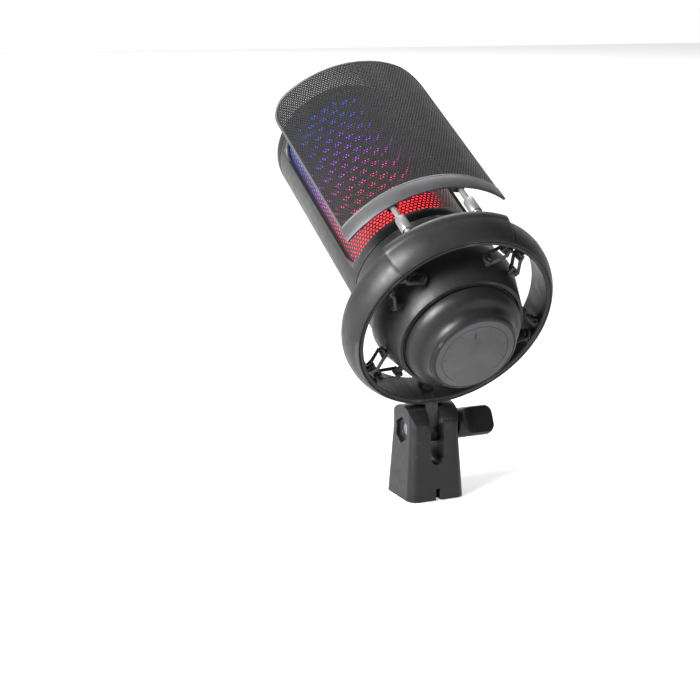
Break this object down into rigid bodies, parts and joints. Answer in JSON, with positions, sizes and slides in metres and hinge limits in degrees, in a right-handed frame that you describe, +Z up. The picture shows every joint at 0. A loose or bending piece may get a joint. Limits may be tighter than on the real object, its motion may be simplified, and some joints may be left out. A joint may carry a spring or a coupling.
{
  "type": "condenser microphone",
  "caption": "Condenser microphone with lit grille, bottom gain knob and curved pop filter, hung by elastic cords in a ring that tilts on a stand bracket.",
  "frame": {"origin": "mouth of the stand thread in the bracket's foot", "axes": "+Z up along the stand thread, -Y towards the side the pop filter faces when the microphone is upright, +X along the hinge towards the thumb knob"},
  "size_m": [0.1012, 0.1725, 0.1992],
  "materials": {
    "black_nylon": "fine moulded texture, satin",
    "ring_plastic": "smooth satin",
    "body_plastic": "smooth satin",
    "knob_plastic": "soft satin",
    "gloss_black": "gloss",
    "soft_rubber": "matt",
    "elastic_cord": "braided",
    "grille_steel": "perforated, satin black",
    "filter_steel": "perforated, satin black",
    "black_steel": "black oxide",
    "grey_steel": "satin dark grey",
    "plated_steel": "plated",
    "light_diffuser": "milky, lit from inside",
    "light_chip": "clear moulded, lit",
    "circuit_board": "green lacquer",
    "chip_black": "moulded",
    "capsule_brass": "satin"
  },
  "bodies": {
    "bracket": {"bracket": "black_nylon", "thread_insert": "plated_steel", "insert_lock_tab": "black_nylon", "clamp_nut": "black_steel"},
    "thumb": {"clamp_screw": "plated_steel", "thumb_knob": "black_nylon"},
    "ring": {"ring_shell": "ring_plastic", "ring_liner": "ring_plastic", "filter_dock": "ring_plastic", "hinge_lug": "black_nylon", "lug_screws": "black_steel", "elastic_cord_1": "elastic_cord", "elastic_cord_2": "elastic_cord", "elastic_cord_3": "elastic_cord", "elastic_cord_4": "elastic_cord"},
    "microphone": {"cradle_cup": "ring_plastic", "cradle_pad": "soft_rubber", "base_shell": "body_plastic", "usb_port": "plated_steel", "usb_board": "circuit_board", "bottom_plate": "body_plastic", "base_screws": "black_steel", "screw_bosses": "body_plastic", "potentiometer": "plated_steel", "body_frame": "body_plastic", "grille": "grille_steel", "light_diffuser": "light_diffuser", "light_strips": "circuit_board", "light_chips": "light_chip", "top_cap": "body_plastic", "mute_pad": "gloss_black", "touch_board": "circuit_board", "main_board": "circuit_board", "board_chips": "chip_black", "capsule_post": "body_plastic", "capsule": "capsule_brass", "capsule_mount": "soft_rubber"},
    "gain": {"gain_shaft": "plated_steel", "gain_knob": "knob_plastic"},
    "pop_filter": {"filter_mesh": "filter_steel", "filter_band": "filter_steel", "filter_sleeves": "grey_steel", "filter_rods": "grey_steel", "filter_clips": "black_steel"}
  },
  "joints": [
    {"name": "thumb_turn", "type": "hinge", "parent": "bracket", "child": "thumb", "pos_m": [0, 0, 0.032], "axis": [1, 0, 0], "continuous": true},
    {"name": "tilt", "type": "hinge", "parent": "bracket", "child": "ring", "pos_m": [0, 0, 0.032], "axis": [1, 0, 0], "range_deg": [-99, 61]},
    {"name": "suspension", "type": "slide", "parent": "ring", "child": "microphone", "axis": [0, 0.8746, 0.4848], "range_m": [-0.003, 0.003], "stiffness_N_per_m": 4000, "deforming": ["elastic_cord_1", "elastic_cord_2", "elastic_cord_3", "elastic_cord_4"]},
    {"name": "gain_turn", "type": "hinge", "parent": "microphone", "child": "gain", "pos_m": [0, -0.02194, 0.09015], "axis": [0, 0.8746, 0.4848], "range_deg": [-140, 140]},
    {"name": "filter_pull", "type": "slide", "parent": "ring", "child": "pop_filter", "axis": [0, 0.8746, 0.4848], "range_m": [0, 0.02]}
  ]
}
